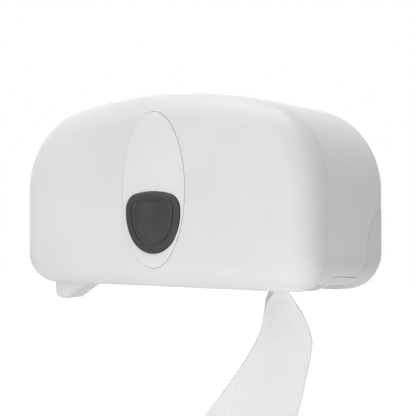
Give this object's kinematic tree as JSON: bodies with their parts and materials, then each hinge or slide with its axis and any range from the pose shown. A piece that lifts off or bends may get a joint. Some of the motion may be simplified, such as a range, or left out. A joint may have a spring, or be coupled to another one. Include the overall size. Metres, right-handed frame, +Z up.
{
  "type": "coreless toilet paper dispenser",
  "caption": "Wall-mounted dispenser with side-by-side coreless rolls under a lift-up cover, a thumb release button and a sliding shutter over the reserve exit.",
  "frame": {"origin": "centre of the wall screw pattern on the wall plane", "axes": "+Y toward the wall, +X to the viewer's right, +Z up"},
  "size_m": [0.31, 0.127, 0.2982],
  "materials": {
    "cover_white": "satin",
    "insert_white": "satin",
    "housing_grey": "satin",
    "shutter_white": "satin",
    "button_dark": "satin",
    "spindle_grey": "matte",
    "spring_steel": "satin",
    "zinc_steel": "satin",
    "brake_rubber": "matte",
    "tissue": "matte"
  },
  "bodies": {
    "wall_unit": {"chassis": "housing_grey", "catch_spring": "spring_steel", "catch_screw": "zinc_steel", "spindle_left": "spindle_grey", "spindle_right": "spindle_grey", "spindle_screws": "zinc_steel", "spindle_clips": "spring_steel", "brake_washers": "brake_rubber", "shutter_detent": "spring_steel", "tissue_tail": "tissue"},
    "cover": {"cover_shell": "cover_white", "cover_insert": "insert_white", "latch_bracket": "housing_grey", "bracket_screws": "zinc_steel", "insert_screws": "zinc_steel", "button_spring": "spring_steel", "hinge_pins": "zinc_steel"},
    "button": {"release_button": "button_dark"},
    "shutter": {"shutter": "shutter_white"},
    "left_roll": {"roll_hub_left": "spindle_grey", "roll_left": "tissue"},
    "right_roll": {"roll_hub_right": "spindle_grey", "roll_right": "tissue"}
  },
  "joints": [
    {"name": "cover_hinge", "type": "hinge", "parent": "wall_unit", "child": "cover", "pos_m": [0, -0.0105, 0.0755], "axis": [-1, 0, 0], "range_deg": [0, 90], "deforming": ["catch_spring"]},
    {"name": "button_press", "type": "slide", "parent": "cover", "child": "button", "axis": [0, 1, 0], "range_m": [0, 0.0032], "stiffness_N_per_m": 800, "springref_m": -0.003, "deforming": ["button_spring", "catch_spring"]},
    {"name": "shutter_slide", "type": "slide", "parent": "wall_unit", "child": "shutter", "axis": [1, 0, 0], "range_m": [0, 0.134], "deforming": ["tissue_tail"]},
    {"name": "left_roll_spin", "type": "hinge", "parent": "wall_unit", "child": "left_roll", "pos_m": [-0.075, -0.05, -0.0005], "axis": [0, 1, 0], "continuous": true},
    {"name": "right_roll_spin", "type": "hinge", "parent": "wall_unit", "child": "right_roll", "pos_m": [0.075, -0.05, -0.0005], "axis": [0, 1, 0], "continuous": true}
  ]
}
